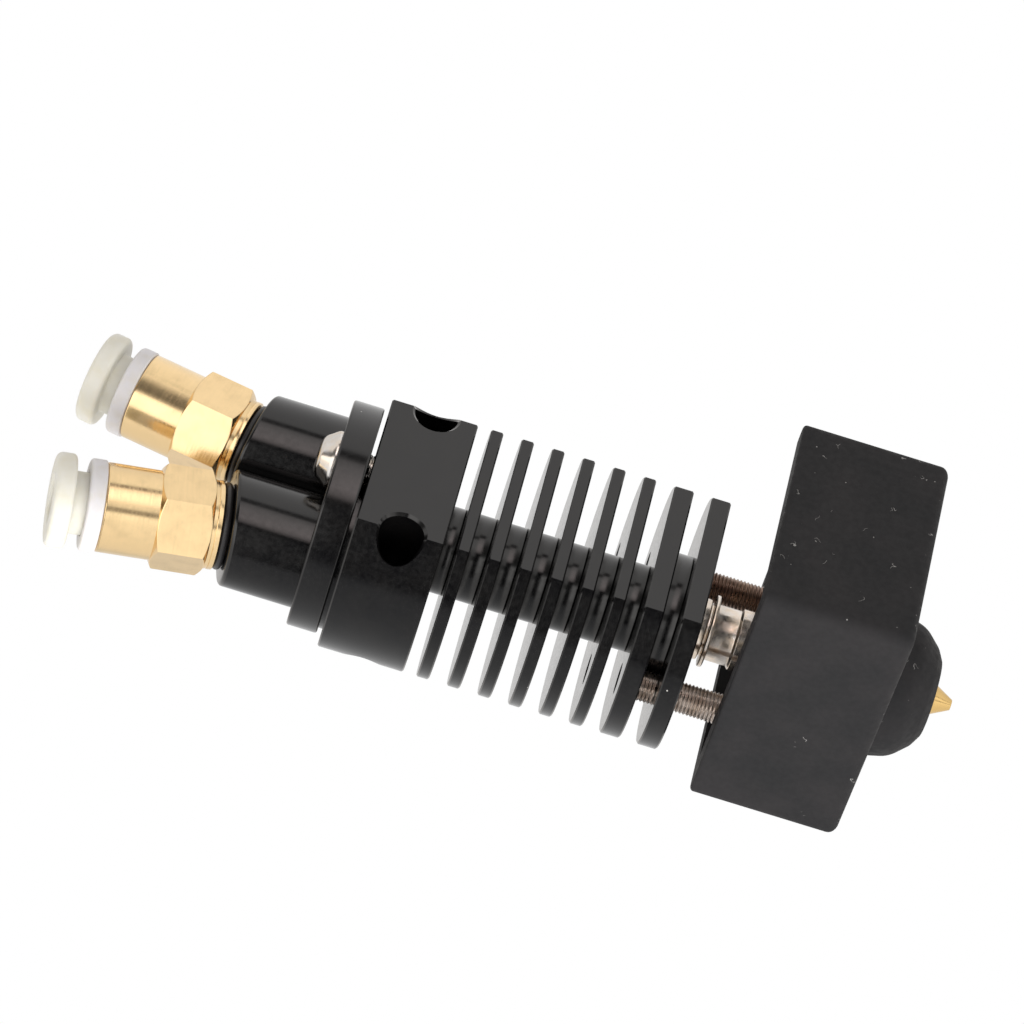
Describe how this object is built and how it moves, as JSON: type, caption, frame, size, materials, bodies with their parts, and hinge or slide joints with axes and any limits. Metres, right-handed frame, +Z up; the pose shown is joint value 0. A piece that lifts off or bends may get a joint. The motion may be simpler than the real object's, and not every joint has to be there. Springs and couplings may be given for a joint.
{
  "type": "hotend assembly",
  "caption": "Extrusion hotend with twin tilted push-fit tube inlets, a finned round heatsink with a front flat, and a sleeved heater block that ends in a nozzle.",
  "frame": {"origin": "centre of the nozzle's tip, where the molten plastic leaves", "axes": "+Z up the hotend's axis from the nozzle to the inlets; X joins the two inlets and the two carriage holes; -Y is the front, out of the heatsink's flat"},
  "size_m": [0.0258, 0.0307, 0.087],
  "materials": {
    "black_anodised": "satin black anodised",
    "coupler_brass": "machined, bright",
    "nozzle_brass": "machined",
    "collet_plastic": "satin warm white",
    "insert_plastic": "satin cool white",
    "screw_steel": "bright",
    "threaded_steel": "bronze tinged thread",
    "polished_steel": "polished",
    "cartridge_steel": "brushed",
    "spring_steel": "stamped",
    "block_metal": "milled",
    "ptfe": "waxy",
    "seal_rubber": "smooth",
    "silicone": "matte moulded"
  },
  "bodies": {
    "hotend": {"heatsink": "black_anodised", "inlet_manifold": "black_anodised", "manifold_screws": "screw_steel", "heat_break": "polished_steel", "ptfe_liner": "ptfe", "standoff_screws": "threaded_steel", "heater_block": "block_metal", "heater_cartridge": "cartridge_steel", "heater_clamp_screw": "screw_steel", "thermistor_cartridge": "cartridge_steel", "thermistor_clamp_screw": "screw_steel", "nozzle": "nozzle_brass", "silicone_sock": "silicone", "coupler_body_a": "coupler_brass", "face_seal_a": "seal_rubber", "tube_seal_a": "seal_rubber", "grip_ring_a": "spring_steel", "coupler_insert_a": "insert_plastic", "coupler_body_b": "coupler_brass", "face_seal_b": "seal_rubber", "tube_seal_b": "seal_rubber", "grip_ring_b": "spring_steel", "coupler_insert_b": "insert_plastic"},
    "collet_a": {"release_collet_a": "collet_plastic"},
    "collet_b": {"release_collet_b": "collet_plastic"}
  },
  "joints": [
    {"name": "collet_a_slide", "type": "slide", "parent": "hotend", "child": "collet_a", "axis": [-0.1908, 0, -0.9816], "range_m": [0, 0.00125], "stiffness_N_per_m": 300, "springref_m": -0.0008},
    {"name": "collet_b_slide", "type": "slide", "parent": "hotend", "child": "collet_b", "axis": [0.1908, 0, -0.9816], "range_m": [0, 0.00125], "stiffness_N_per_m": 300, "springref_m": -0.0008}
  ]
}
